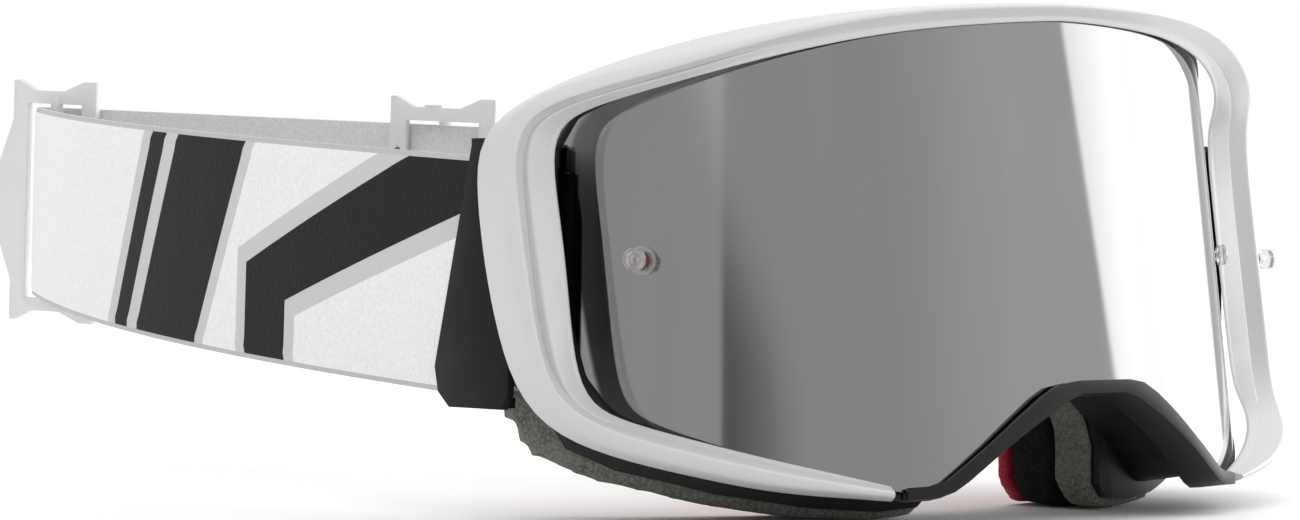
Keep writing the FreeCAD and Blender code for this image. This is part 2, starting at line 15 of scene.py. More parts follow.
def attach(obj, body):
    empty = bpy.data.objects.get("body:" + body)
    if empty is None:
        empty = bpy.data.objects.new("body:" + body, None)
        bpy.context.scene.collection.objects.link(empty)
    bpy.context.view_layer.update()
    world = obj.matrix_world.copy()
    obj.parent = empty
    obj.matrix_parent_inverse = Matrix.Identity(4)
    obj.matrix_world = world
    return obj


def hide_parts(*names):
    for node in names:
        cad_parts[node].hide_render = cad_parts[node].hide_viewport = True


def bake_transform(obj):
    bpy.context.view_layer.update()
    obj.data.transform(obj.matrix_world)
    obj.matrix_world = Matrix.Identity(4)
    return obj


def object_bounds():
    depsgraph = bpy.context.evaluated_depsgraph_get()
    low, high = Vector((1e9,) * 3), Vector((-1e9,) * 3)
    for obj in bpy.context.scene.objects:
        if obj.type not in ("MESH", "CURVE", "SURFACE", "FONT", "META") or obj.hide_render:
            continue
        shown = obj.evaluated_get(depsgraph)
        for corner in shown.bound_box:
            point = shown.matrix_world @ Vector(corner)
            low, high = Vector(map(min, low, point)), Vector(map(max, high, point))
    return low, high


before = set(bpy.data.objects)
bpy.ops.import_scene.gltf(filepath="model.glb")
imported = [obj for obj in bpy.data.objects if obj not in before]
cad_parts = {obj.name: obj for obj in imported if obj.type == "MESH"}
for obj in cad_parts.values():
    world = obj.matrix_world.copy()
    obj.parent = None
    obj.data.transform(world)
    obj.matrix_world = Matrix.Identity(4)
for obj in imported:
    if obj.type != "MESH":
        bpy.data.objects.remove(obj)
CAD_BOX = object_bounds()
MM = 0.001
scene = bpy.context.scene

# %% [markdown]
# ## Small helpers
# A colour is written as it looks on a screen, and one function turns it into the linear
# numbers that a shader needs. One more function adds a shader node with its settings and
# links, so that every material below reads as a short list.

# %% Colour and node helpers
def linear(code, alpha=1.0):
    """Linear RGBA from an sRGB hex colour."""
    parts = [int(code[i:i + 2], 16) / 255 for i in (1, 3, 5)]
    return [c / 12.92 if c <= 0.04045 else ((c + 0.055) / 1.055) ** 2.4 for c in parts] + [alpha]


def node(tree, kind, inputs=None, **settings):
    """Adds a node. inputs gives each socket a value or another node's output."""
    made = tree.nodes.new("ShaderNode" + kind)
    for name, value in settings.items():
        setattr(made, name, value)
    for name, value in (inputs or {}).items():
        if isinstance(value, bpy.types.NodeSocket):
            tree.links.new(value, made.inputs[name])
        else:
            made.inputs[name].default_value = value
    return made


def new_material(name):
    """An empty material with its tree and output node."""
    material = bpy.data.materials.new(name)
    material.use_nodes = True
    tree = material.node_tree
    tree.nodes.clear()
    return material, tree, node(tree, "OutputMaterial")


def shade(name, inputs, grain, depth, mottle, hexes):
    """A moulded, drawn or painted finish: fine grain of that size and depth in mm, and a slight
    mottle of the roughness. hexes are the two colours that the mottle moves between."""
    material, tree, output = new_material(name)
    place = node(tree, "TexCoord").outputs["Object"]
    fine = node(tree, "TexNoise", {"Vector": place, "Scale": 1 / (grain * MM), "Detail": 2.0})
    broad = node(tree, "TexNoise", {"Vector": place, "Scale": 1 / (14 * MM), "Detail": 3.0})
    colour = node(tree, "Mix", {"Factor": broad.outputs["Fac"]}, data_type="RGBA")
    colour.inputs["A"].default_value = linear(hexes[0])
    colour.inputs["B"].default_value = linear(hexes[1])
    rough = node(tree, "MapRange", {"Value": broad.outputs["Fac"], "From Min": 0.3, "From Max": 0.7})
    rough.inputs["To Min"].default_value = max(0.02, inputs["Roughness"] - mottle)
    rough.inputs["To Max"].default_value = min(1.0, inputs["Roughness"] + mottle)
    bump = node(tree, "Bump", {"Height": fine.outputs["Fac"], "Distance": depth * MM, "Strength": 0.6})
    shader = node(tree, "BsdfPrincipled", inputs)
    tree.links.new(colour.outputs["Result"], shader.inputs["Base Color"])
    tree.links.new(rough.outputs["Result"], shader.inputs["Roughness"])
    tree.links.new(bump.outputs["Normal"], shader.inputs["Normal"])
    tree.links.new(shader.outputs["BSDF"], output.inputs["Surface"])
    return material


# %% [markdown]
# ## Plastic, rubber, foam and metal finishes
# Each finish starts from the real material. The white shell is glossy injection-moulded nylon,
# so it is smooth with soft highlights. The black inner frame is soft moulded polyurethane, a
# little duller. The tear-off posts are clear polished acrylic, and the foam is cut from blocks
# whose cells are about half a millimetre across.

# %% Plain finishes
WHITE_NYLON = shade("moulded_white_nylon", {"Roughness": 0.30, "IOR": 1.53, "Coat Weight": 0.25,
                                            "Coat Roughness": 0.12}, 0.5, 0.002, 0.01, ("#cbcbcc", "#cecece"))
BLACK_RUBBER = shade("moulded_black_polyurethane", {"Roughness": 0.42, "IOR": 1.5, "Specular IOR Level": 0.3},
                     0.35, 0.012, 0.07, ("#0e0e10", "#141416"))
BLACK_NYLON = shade("spark_textured_black_nylon", {"Roughness": 0.5, "IOR": 1.53, "Specular IOR Level": 0.12},
                    0.4, 0.02, 0.06, ("#131315", "#18181a"))
RED_PLASTIC = shade("moulded_dark_red_acetal", {"Roughness": 0.35, "IOR": 1.48}, 0.3, 0.004, 0.04,
                    ("#5f0a10", "#7a1119"))
CLEAR_ACRYLIC = shade("polished_clear_acrylic", {"Roughness": 0.05, "IOR": 1.49, "Transmission Weight": 0.85},
                      0.5, 0.001, 0.02, ("#f2f4f5", "#fbfcfc"))
MILKY_REACH = 2 * MM    # how far light wanders inside the milky nylon
MILKY_NYLON = shade("moulded_milky_nylon",
                    {"Roughness": 0.30, "IOR": 1.53, "Transmission Weight": 0.25, "Subsurface Weight": 0.2,
                     "Subsurface Radius": (MILKY_REACH, MILKY_REACH, MILKY_REACH)},
                    0.5, 0.002, 0.01, ("#e6e6e6", "#e9e9e9"))
STEEL = shade("drawn_steel_wire", {"Roughness": 0.3, "Metallic": 1.0}, 0.1, 0.002, 0.05,
              ("#a8a8aa", "#b6b6b8"))
SEAL_RUBBER = shade("closed_cell_neoprene", {"Roughness": 0.8, "IOR": 1.5}, 0.4, 0.05, 0.05,
                    ("#0d0d0d", "#161616"))
print("plain finishes", len(bpy.data.materials))

# %% [markdown]
# ## Foam and fleece
# Foam shows its cells as a speckle of darker pits, so a cell pattern drives both the colour and
# the bump. The darker colour in the pits is painted shade. The real cells are 0.4 to 0.6 mm;
# here they are 0.7 mm so that they show. The face layer is brushed fleece, whose upright fibres
# catch light at the edges: that is sheen.

# %% Foam finishes
def foam_finish(name, dark, light, cell, sheen):
    material, tree, output = new_material(name)
    place = node(tree, "TexCoord").outputs["Object"]
    cells = node(tree, "TexVoronoi", {"Vector": place, "Scale": 1 / (cell * MM), "Randomness": 1.0})
    pits = node(tree, "MapRange", {"Value": cells.outputs["Distance"], "From Min": 0.1, "From Max": 0.75})
    patch = node(tree, "TexNoise", {"Vector": place, "Scale": 1 / (6 * MM), "Detail": 4.0})
    # The pits' darker colour is painted shade inside the open cells, and some patches get more of it than
    # others.
    painted_pit_shade = node(tree, "Math", {0: pits.outputs["Result"], 1: patch.outputs["Fac"]}, operation="MULTIPLY")
    colour = node(tree, "Mix", {"Factor": painted_pit_shade.outputs["Value"]}, data_type="RGBA")
    colour.inputs["A"].default_value = linear(light)
    colour.inputs["B"].default_value = linear(dark)
    bump = node(tree, "Bump", {"Height": pits.outputs["Result"], "Distance": 0.25 * MM, "Strength": 0.8},
                invert=True)
    shader = node(tree, "BsdfPrincipled", {"Base Color": colour.outputs["Result"], "Roughness": 0.95,
                                           "Specular IOR Level": 0.1, "Sheen Weight": sheen,
                                           "Sheen Roughness": 0.6, "Normal": bump.outputs["Normal"]})
    tree.links.new(shader.outputs["BSDF"], output.inputs["Surface"])
    return material


GREY_FOAM = foam_finish("grey_polyether_foam", "#2e2e2b", "#85857c", 0.7, 0.05)
BLACK_FOAM = foam_finish("black_polyether_foam", "#030303", "#222222", 0.8, 0.0)
RED_FLEECE = foam_finish("brushed_red_fleece", "#74001a", "#b00028", 0.45, 0.2)
VENT_FOAM = foam_finish("open_cell_vent_foam", "#030303", "#1c1c1c", 1.1, 0.0)
print("foam finishes", 4)

# %% [markdown]
# ## Mirror lens
# The lens is polycarbonate with a vacuum-deposited silver film. A thin film reflects about a
# quarter of the light, so the metal's colour is a mid grey. Wiping leaves it very slightly
# uneven from top to bottom, which is a stretched noise on the roughness. The lines scored just
# inside its edge are duller.

# %% Lens finish
def lens_finish():
    material, tree, output = new_material("silver_mirror_polycarbonate")
    place = node(tree, "TexCoord").outputs["Object"]
    stretch = node(tree, "Mapping", {"Vector": place, "Scale": (160.0, 160.0, 6.0)})
    streak = node(tree, "TexNoise", {"Vector": stretch.outputs["Vector"], "Scale": 1.0, "Detail": 3.0})
    rough = node(tree, "MapRange", {"Value": streak.outputs["Fac"], "From Min": 0.3, "From Max": 0.7,
                                    "To Min": 0.035, "To Max": 0.07})
    tint = node(tree, "Mix", {"Factor": streak.outputs["Fac"]}, data_type="RGBA")
    tint.inputs["A"].default_value = linear("#939393")
    tint.inputs["B"].default_value = linear("#999999")
    shader = node(tree, "BsdfPrincipled", {"Base Color": tint.outputs["Result"], "Metallic": 1.0,
                                           "Roughness": rough.outputs["Result"]})
    tree.links.new(shader.outputs["BSDF"], output.inputs["Surface"])
    return material


MIRROR = lens_finish()
SCORED_EDGE = shade("scored_mirror_edge", {"Roughness": 0.22, "Metallic": 1.0}, 0.2, 0.004, 0.03,
                    ("#a6a6a6", "#b0b0b0"))
print("lens finish", MIRROR.name)

# %% [markdown]
# ## Strap cloth
# The strap is knitted elastic, 45.6 mm wide. Its ribs run across it about every 0.9 mm, and a
# thick rubbery print with a leathery grain lies on its outside. The print here is a plain set
# of slanting bars with pale borders. It is drawn on the strap's own map, whose U is the distance
# from the clip and whose V is the height, both in millimetres, so that it follows the strap
# round its bends.

# %% Strap finishes
STRAP_HALF = 22.8
HEM = 1.3                                   # rolled edge that carries no print
RIB, STITCH = 0.9, 1.3                      # spacing of the knit along and across the strap
LEATHER_GRAIN = 1.1
BAR_LEAN = 0.55
DARK_BARS = ((86.0, 122.0), (129.0, 138.0))  # where each bar crosses the strap's middle
PALE_BAR = (81.5, 143.5)
SWEEP_LEG = (54.0, 72.0)                    # upright leg at the foot of the sweep
SWEEP_TOP, SWEEP_LOW = (2.62, 64.2), (3.07, 24.9)   # lean and place of its two slanting edges
SWEEP_BORDER = 4.2


def cut(tree, left, sign, right):
    """1 where left is less or more than right."""
    kind = "LESS_THAN" if sign == "<" else "GREATER_THAN"
    return node(tree, "Math", {0: left, 1: right}, operation=kind).outputs["Value"]


def blend_values(tree, kind, values):
    """Folds values together with one maths operation."""
    total = values[0]
    for value in values[1:]:
        total = node(tree, "Math", {0: total, 1: value}, operation=kind).outputs["Value"]
    return total


def slanted(tree, u, v, lean, shift):
    """u + lean * v - shift: it is 0 along a slanting line."""
    leaning = node(tree, "Math", {0: v, 1: lean, 2: u}, operation="MULTIPLY_ADD").outputs["Value"]
    return node(tree, "Math", {0: leaning, 1: shift}, operation="SUBTRACT").outputs["Value"]


def bar(tree, u, v, span):
    """1 inside a slanting bar that crosses the middle of the strap between the two ends of span."""
    line = slanted(tree, u, v, BAR_LEAN, 0.0)
    return blend_values(tree, "MULTIPLY", [cut(tree, line, ">", span[0]), cut(tree, line, "<", span[1])])


def front_sweep(tree, u, v, grow):
    """1 inside the sweep that starts as an upright leg and leans forward towards the clip."""
    upper = slanted(tree, u, v, SWEEP_TOP[0], SWEEP_TOP[1] + SWEEP_TOP[0] * grow)
    lower = slanted(tree, u, v, SWEEP_LOW[0], SWEEP_LOW[1] - SWEEP_LOW[0] * grow)
    leg = cut(tree, u, ">", SWEEP_LEG[0] - grow)
    inside = blend_values(tree, "MAXIMUM", [cut(tree, lower, ">", 0.0), leg])
    behind = cut(tree, u, "<", SWEEP_LEG[1] + grow)
    return blend_values(tree, "MULTIPLY", [cut(tree, upper, "<", 0.0), behind, inside])


def wave(tree, value, period):
    """A sine wave along value."""
    turn = node(tree, "Math", {0: value, 1: 2 * math.pi / period}, operation="MULTIPLY").outputs["Value"]
    return node(tree, "Math", {0: turn}, operation="SINE").outputs["Value"]


def strap_finish(name, printed):
    material, tree, output = new_material(name)
    split = node(tree, "SeparateXYZ", {"Vector": node(tree, "UVMap", uv_map="strap").outputs["UV"]})
    u, v = split.outputs["X"], split.outputs["Y"]
    place = node(tree, "TexCoord").outputs["Object"]
    fuzz = node(tree, "TexNoise", {"Vector": place, "Scale": 1 / (0.8 * MM), "Detail": 3.0}).outputs["Fac"]
    knit = blend_values(tree, "MULTIPLY", [wave(tree, u, RIB), wave(tree, v, STITCH)])
    knit = node(tree, "Math", {0: knit, 1: 0.25, 2: fuzz}, operation="MULTIPLY_ADD").outputs["Value"]
    cloth = node(tree, "Mix", {"Factor": knit}, data_type="RGBA")
    cloth.inputs["A"].default_value = linear("#dcdcdc" if printed else "#bcbcbc")
    cloth.inputs["B"].default_value = linear("#fbfbfb" if printed else "#dedede")
    colour, height = cloth.outputs["Result"], knit
    if printed:
        black = [front_sweep(tree, u, v, 0.0)] + [bar(tree, u, v, span) for span in DARK_BARS]
        pale = [front_sweep(tree, u, v, SWEEP_BORDER), bar(tree, u, v, PALE_BAR)]
        dark = blend_values(tree, "MAXIMUM", black)
        edge = blend_values(tree, "MAXIMUM", pale)
        reach = node(tree, "Math", {0: v}, operation="ABSOLUTE").outputs["Value"]
        rim = cut(tree, reach, "<", STRAP_HALF - HEM)
        dark = blend_values(tree, "MULTIPLY", [dark, rim])
        edge = blend_values(tree, "MULTIPLY", [edge, rim])
        ink = node(tree, "Mix", {"Factor": fuzz}, data_type="RGBA")
        ink.inputs["A"].default_value = linear("#151515")
        ink.inputs["B"].default_value = linear("#262626")
        pale_ink = node(tree, "Mix", {"Factor": edge}, data_type="RGBA")
        tree.links.new(colour, pale_ink.inputs[6])
        pale_ink.inputs[7].default_value = linear("#c9c9c9")
        both = node(tree, "Mix", {"Factor": dark}, data_type="RGBA")
        tree.links.new(pale_ink.outputs["Result"], both.inputs[6])
        tree.links.new(ink.outputs["Result"], both.inputs[7])
        hem = node(tree, "Mix", {"Factor": rim}, data_type="RGBA")
        hem.inputs[6].default_value = linear("#bdbdbd")
        tree.links.new(both.outputs["Result"], hem.inputs[7])
        colour = hem.outputs["Result"]
        leather = node(tree, "TexVoronoi", {"Vector": place, "Scale": 1 / (LEATHER_GRAIN * MM)})
        knit = node(tree, "Mix", {"Factor": dark, 2: knit, 3: leather.outputs["Distance"]}).outputs["Result"]
        raised = node(tree, "Math", {0: edge, 1: dark}, operation="ADD").outputs["Value"]
        height = node(tree, "Math", {0: raised, 1: 1.6, 2: knit}, operation="MULTIPLY_ADD").outputs["Value"]
    bump = node(tree, "Bump", {"Height": height, "Distance": 0.14 * MM, "Strength": 0.7})
    shader = node(tree, "BsdfPrincipled", {"Base Color": colour, "Roughness": 0.85, "Specular IOR Level": 0.2,
                                           "Sheen Weight": 0.03, "Normal": bump.outputs["Normal"]})
    tree.links.new(shader.outputs["BSDF"], output.inputs["Surface"])
    return material


PRINTED_KNIT = strap_finish("printed_elastic_knit", True)
PLAIN_KNIT = strap_finish("plain_elastic_knit", False)
print("strap finishes", PRINTED_KNIT.name, PLAIN_KNIT.name)

# %% [markdown]
# ## Camera, floor and light
# The goggles stand on a plain pale floor in a white studio. The light is the room itself: a
# pale dome that brightens upwards, with a broad bright window on the wearer's left, and a paler
# panel that ends beside a dark low one on the right.
# The mirror shows that room, so the dome's brightness is drawn by direction: its edges are what
# make the tall bands on the lens.

# %% Camera and floor
def add_camera():
    data = bpy.data.cameras.new("portrait_camera")
    data.lens = 125.0
    data.sensor_width = 36.0
    data.clip_start = 0.05
    data.clip_end = 60.0
    camera = bpy.data.objects.new("portrait_camera", data)
    turn, dip = math.radians(37.0), math.radians(0.5966)
    forward = Vector((math.sin(turn) * math.cos(dip), math.cos(turn) * math.cos(dip), -math.sin(dip)))
    camera.location = (-0.57172, -0.66882, 0.008455)
    camera.rotation_euler = forward.to_track_quat("-Z", "Y").to_euler()
    scene.collection.objects.link(camera)
    scene.camera = camera


def add_floor():
    bm = bmesh.new()
    bmesh.ops.create_grid(bm, x_segments=1, y_segments=1, size=4.0)
    bmesh.ops.translate(bm, vec=(0, 0, CAD_BOX[0][2]), verts=bm.verts)
    mesh = bpy.data.meshes.new("floor")
    bm.to_mesh(mesh)
    floor = bpy.data.objects.new("floor", mesh)
    paint = shade("matt_white_paint", {"Roughness": 0.9}, 2.0, 0.05, 0.02, ("#fbfbfb", "#fdfdfd"))
    mesh.materials.append(paint)
    scene.collection.objects.link(floor)


add_camera()
add_floor()

# %% Studio light
WINDOW = (38.0, 108.0)     # directions between which the bright window lies, degrees
WINDOW_GAIN = 2.35
DOME = 0.74                # brightness of the dome near the horizon
PANEL_EDGE = -62.0         # direction in which the paler panel ends and the dark one starts


def add_studio():
    """A dome whose brightness depends on direction: turn round the object and height."""
    world = bpy.data.worlds.new("white_studio")
    world.use_nodes = True
    tree = world.node_tree
    tree.nodes.clear()
    way = node(tree, "SeparateXYZ", {"Vector": node(tree, "TexCoord").outputs["Generated"]})
    back = node(tree, "Math", {0: way.outputs["Y"], 1: -1.0}, operation="MULTIPLY").outputs["Value"]
    turn = node(tree, "Math", {0: way.outputs["X"], 1: back}, operation="ARCTAN2").outputs["Value"]
    turn = node(tree, "Math", {0: turn, 1: 180 / math.pi}, operation="MULTIPLY").outputs["Value"]
    rise = node(tree, "Math", {0: way.outputs["Z"]}, operation="ARCSINE").outputs["Value"]
    rise = node(tree, "Math", {0: rise, 1: 180 / math.pi}, operation="MULTIPLY").outputs["Value"]
    lean = node(tree, "Math", {0: rise, 1: -13.0}, operation="ADD").outputs["Value"]
    slid = node(tree, "Math", {0: lean, 1: 1.4, 2: turn}, operation="MULTIPLY_ADD").outputs["Value"]
    mark = node(tree, "Math", {0: rise, 1: -9.6}, operation="ADD").outputs["Value"]
    mark = node(tree, "Math", {0: mark, 1: -1.5, 2: turn}, operation="MULTIPLY_ADD").outputs["Value"]

    def ramp(value, low, high, start, end):
        """From start to end as value goes from low to high."""
        mapped = node(tree, "MapRange", {"Value": value, "From Min": low, "From Max": high, "To Min": start,
                                         "To Max": end}, interpolation_type="SMOOTHSTEP")
        return mapped.outputs["Result"]

    def product(*values):
        """Multiplies strengths together."""
        total = values[0]
        for value in values[1:]:
            total = node(tree, "Math", {0: total, 1: value}, operation="MULTIPLY").outputs["Value"]
        return total

    def plus(value, factor, base):
        """base + factor * value."""
        return node(tree, "Math", {0: value, 1: factor, 2: base}, operation="MULTIPLY_ADD").outputs["Value"]

    # The dome: brighter overhead, white behind the wearer's left, and lighter towards the window.
    light = plus(ramp(rise, 12.0, 70.0, 0.0, 1.0), 0.5, DOME)
    light = plus(ramp(turn, 118.0, 128.0, 0.0, 1.0), 1.0 - DOME, light)
    light = plus(product(ramp(turn, -20.0, 26.0, 0.0, 1.0), ramp(turn, 60.0, 70.0, 1.0, 0.0)), 0.22, light)
    # The paler panel, mostly high up, and the dark one, low down.
    edge = PANEL_EDGE + 0.6
    light = plus(product(ramp(mark, -78.0, PANEL_EDGE, 0.0, 1.0), ramp(mark, PANEL_EDGE, edge, 1.0, 0.0),
                         ramp(rise, 10.0, 13.0, 0.1, 1.0), ramp(rise, 22.0, 30.0, 1.0, 0.0)), 0.36, light)
    light = plus(product(ramp(mark, PANEL_EDGE, edge, 0.0, 1.0), ramp(mark, edge, -38.0, 1.0, 0.0),
                         ramp(rise, 8.5, 11.5, 1.0, 0.0), ramp(rise, -4.0, 4.0, 0.0, 1.0)), -0.48, light)
    # The window, which has a leaning edge and grows brighter away from it.
    window = product(ramp(slid, WINDOW[0] + 7, WINDOW[0] + 9, 0.0, 1.0),
                     ramp(turn, WINDOW[1], WINDOW[1] + 5, 1.0, 0.0),
                     ramp(rise, 32.0, 44.0, 1.0, 0.0), ramp(rise, -12.0, -4.0, 0.0, 1.0))
    light = plus(product(window, ramp(turn, 30.0, 66.0, 0.45, 1.0)), WINDOW_GAIN, light)
    background = node(tree, "Background", {"Strength": light})
    background.inputs["Color"].default_value = (1, 1, 1, 1)
    output = node(tree, "OutputWorld")
    tree.links.new(background.outputs["Background"], output.inputs["Surface"])
    scene.world = world


add_studio()
scene.view_settings.view_transform = "Standard"
print("studio", scene.camera.name, scene.world.name)

# %% [markdown]
# ## Making pieces
# Every new piece is a bmesh that becomes an object at the origin and stands for the design's
# solids; all but the strap's lengths ride on a body. The smaller mouldings keep the design's
# shape: their mesh is copied, merged and given a rounded edge, because a real moulding has no
# sharp corner and it is the small round edges that catch the light.

# %% Piece helpers
def add_piece(bm, name, materials, body=None, replaced=(), angle=40.0):
    """Turns a bmesh into a smooth-shaded piece."""
    mesh = bpy.data.meshes.new(name)
    bm.to_mesh(mesh)
    bm.free()
    mesh.shade_smooth()
    mesh.set_sharp_from_angle(angle=math.radians(angle))
    for material in materials:
        mesh.materials.append(material)
    piece = bpy.data.objects.new(name, mesh)
    scene.collection.objects.link(piece)
    if replaced:
        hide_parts(*replaced)
    if body:
        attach(piece, body)
    return piece


def copied(name):
    """A merged copy of a design node's mesh."""
    bm = bmesh.new()
    bm.from_mesh(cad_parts[name].data)
    bmesh.ops.remove_doubles(bm, verts=bm.verts, dist=0.002 * MM)
    bmesh.ops.dissolve_limit(bm, angle_limit=math.radians(0.6), verts=bm.verts, edges=bm.edges)
    return bm


def moulding(name, body, material, radius):
    """A copy of a node with its sharp edges rounded."""
    bm = copied(name)
    sharp = [e for e in bm.edges if len(e.link_faces) == 2 and e.calc_face_angle() > math.radians(38)]
    bmesh.ops.bevel(bm, geom=sharp, offset=radius * MM, offset_type="OFFSET", segments=2, profile=0.5,
                    affect="EDGES", clamp_overlap=True, material=-1)
    return add_piece(bm, name + "_moulding", [material], body, [name], 50.0)


for label in ("right", "left"):
    moulding("strap_clip_" + label, "clip_" + label, BLACK_NYLON, 0.35)
moulding("inner_frame", "mask", BLACK_RUBBER, 0.3)
moulding("slider_rear", "rear_slider", MILKY_NYLON, 0.35)
moulding("slider_left", "left_slider", MILKY_NYLON, 0.35)
moulding("side_post_base", "mask", WHITE_NYLON, 0.3)

KEPT = {"lens_seal": SEAL_RUBBER, "vent_foam_top": VENT_FOAM, "vent_foam_nose_right": VENT_FOAM,
        "vent_foam_nose_left": VENT_FOAM, "side_post": CLEAR_ACRYLIC, "side_post_plug": BLACK_NYLON,
        "side_post_collar": BLACK_RUBBER}
for label in ("right", "left"):
    KEPT.update({"tearoff_post_" + label: CLEAR_ACRYLIC, "post_ring_" + label: RED_PLASTIC,
                 "post_nut_" + label: BLACK_NYLON, "clip_pin_" + label: STEEL})
for name, material in KEPT.items():
    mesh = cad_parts[name].data
    mesh.materials.clear()
    mesh.materials.append(material)
print("mouldings 6, kept nodes", len(KEPT))

# %% [markdown]
# ## Lens
# The lens is cut from flat sheet and bent to a cylinder of 82 mm radius that leans back 8
# degrees. So it is drawn flat, as (distance round, height), cut into narrow upright strips and
# bent, just like the real one. Two fine scored lines follow its edge inside the rim.

# %% Lens shape
LENS_R = 82.0
LENS_THICK = 1.2
SCORE_WIDE = 0.35
LEAN = math.radians(8.0)
SEAL_TO_LENS = 44.0
LENS_HALF = [(0, 46.0), (34, 44.6), (57, 41.6), (74, 38.8), (88, 36.0), (97.0, 33.4), (102.2, 27.5),
             (103.0, 20), (102.2, -4), (100.0, -14.5), (95.0, -21.2), (87, -25.5), (68, -33.4), (52, -38.6),
             (41.0, -41.6), (36.8, -41.6), (33.7, -40.6), (30.3, -38.3), (24.6, -34.3), (18.7, -29.9),
             (13.7, -26.4), (10.0, -24.4), (6.2, -23.9)]
FRONT = Matrix.Translation((0, -SEAL_TO_LENS * MM, 0)) @ Matrix.Rotation(-LEAN, 4, "X")


def in_metres(s, v, out):
    """A point beside the lens, in metres, from millimetres: s round it, v up, out from its front."""
    turn = s / LENS_R
    radius = (LENS_R + out) * MM
    return FRONT @ Vector((radius * math.sin(turn), LENS_R * MM - radius * math.cos(turn), v * MM))


def between(before, start, end, after, share):
    """A smooth value between start and end, on a curve through all four."""
    step = share * share * (3 - 2 * share)
    rise = share * (1 - share) ** 2 * (end - before) / 2
    fall = share * share * (1 - share) * (after - start) / 2
    return start + (end - start) * step + rise - fall


def smoothed(points, pieces):
    """A closed outline with rounded runs between its points."""
    count = len(points)
    fine = []
    for i in range(count):
        around = [points[(i + k) % count] for k in (-1, 0, 1, 2)]
        for k in range(pieces):
            fine.append(tuple(between(*four, k / pieces) for four in zip(*around)))
    return fine


def lens_normal(co):
    """Straight out from the lens's axis."""
    local = FRONT.inverted() @ co
    out = Vector((local.x, local.y - LENS_R * MM, 0)).normalized()
    return FRONT.to_3x3() @ out


def make_lens():
    outline = smoothed(LENS_HALF + [(-s, v) for s, v in reversed(LENS_HALF) if s > 0], 4)
    bm = bmesh.new()
    corners = [bm.verts.new((s, 0, v)) for s, v in outline]
    sheet = bm.faces.new(corners)
    for gap, finish in ((4.0, 0), (SCORE_WIDE, 1), (4.5, 0), (SCORE_WIDE, 1)):
        ring = bmesh.ops.inset_region(bm, faces=[sheet], thickness=gap, use_even_offset=True)
        for face in ring["faces"]:
            face.material_index = finish
    for s in range(-98, 99, 2):
        bmesh.ops.bisect_plane(bm, geom=bm.verts[:] + bm.edges[:] + bm.faces[:], dist=1e-5,
                               plane_co=(s, 0, 0), plane_no=(1, 0, 0))
    bmesh.ops.remove_doubles(bm, verts=bm.verts, dist=1e-3)
    for vert in bm.verts:
        vert.co = in_metres(vert.co.x, vert.co.z, 0.0)
    bmesh.ops.recalc_face_normals(bm, faces=bm.faces)
    bm.normal_update()
    if sum((f.normal.dot(lens_normal(f.calc_center_median())) * f.calc_area() for f in bm.faces)) < 0:
        bmesh.ops.reverse_faces(bm, faces=bm.faces)
    bmesh.ops.solidify(bm, geom=bm.faces[:], thickness=LENS_THICK * MM)
    bmesh.ops.recalc_face_normals(bm, faces=bm.faces)
    lens = add_piece(bm, "lens_sheet", [MIRROR, SCORED_EDGE], "mask", ["lens"], 35.0)
    mesh = lens.data
    # Both broad sides get the true cylinder's normals, so that the mirror shows no facets.
    normals = []
    for face in mesh.polygons:
        radial = [lens_normal(mesh.vertices[i].co) for i in face.vertices]
        along = sum((r.dot(face.normal) for r in radial)) / len(radial)
        for r in radial:
            normals.append(r if along > 0.98 else (-r if along < -0.98 else face.normal))
    mesh.normals_split_custom_set([tuple(n) for n in normals])
    return lens


lens = make_lens()
print("lens faces", len(lens.data.polygons))

# %% [markdown]
# ## Outer frame
# The white shell changes its section all the way round: a thin lip over the lens, a groove, a
# sharp ridge, and a sloping outside that becomes a deep swept wing at each side. So it is
# lofted: fourteen sections on each half are filled in and evened out, each corner is rounded,
# and the loops of edges are bridged.

# %% Outer frame
FRAME_SECTIONS = [
    ((0, 44.9, 1.0), (0, 45.6, 1.6), (0, 46.9, 5.0), (0, 47.4, 4.0), (0, 48.9, -3.0)),
    ((34, 43.3, 1.3), (34, 44.5, 1.8), (35, 45.9, 5.9), (35, 46.7, 4.8), (33, 48.3, -2.5)),
    ((57, 40.4, 2.4), (57, 41.9, 3.2), (57, 42.8, 8.1), (57, 44.1, 6.8), (57, 47.0, -0.4)),
    ((74, 37.4, 4.1), (74.5, 38.7, 5.5), (72.5, 39.1, 10.7), (73, 41.0, 9.2), (74, 44.6, 2.8)),
    ((88, 34.8, 6.2), (89, 35.6, 9.0), (86, 36.6, 13.6), (88, 39.2, 11.8), (88, 41.6, 6.7)),
    ((95.8, 32.4, 7.7), (98.0, 33.0, 12.0), (96.5, 33.8, 16.7), (99.0, 36.2, 15.2), (101.5, 36.6, 12.2)),
    ((98.4, 27.0, 8.3), (101.0, 27.0, 13.2), (100, 28.0, 17.7), (102.5, 29.0, 17.8), (108.6, 30.5, 15.2)),
    ((97.8, 7.0, 8.1), (101.1, 7.0, 13.2), (99.7, 7.0, 17.6), (102, 7.0, 18.2), (109.1, 7.0, 15.6)),
    ((97.4, -14, 8.1), (99.8, -13, 13.2), (98.3, -13, 17.2), (100.3, -14, 17.4), (106.2, -15.0, 14.6)),
    ((95.0, -20.6, 7.5), (96.2, -20.5, 11.3), (96.0, -20.5, 16.2), (97.8, -23.5, 15.2), (101.6, -24.2, 12.6)),
    ((88, -24.8, 6.2), (88.5, -25.5, 9.0), (88, -26.8, 14.0), (89, -29.6, 12.6), (91, -31.0, 7.8)),
    ((68, -32.5, 3.4), (68, -33.3, 4.8), (66, -35.6, 9.5), (66.3, -38.0, 8.1), (67, -39.2, 1.4)),
    ((53, -37.4, 2.2), (53, -38.1, 3.2), (52, -39.6, 6.8), (52, -40.9, 5.8), (51.5, -41.8, -1.0)),
    ((41.6, -41.0, 1.5), (41.6, -41.4, 2.2), (41.6, -42.0, 4.0), (41.6, -42.7, 3.4), (41.6, -43.3, -2.0)),
]
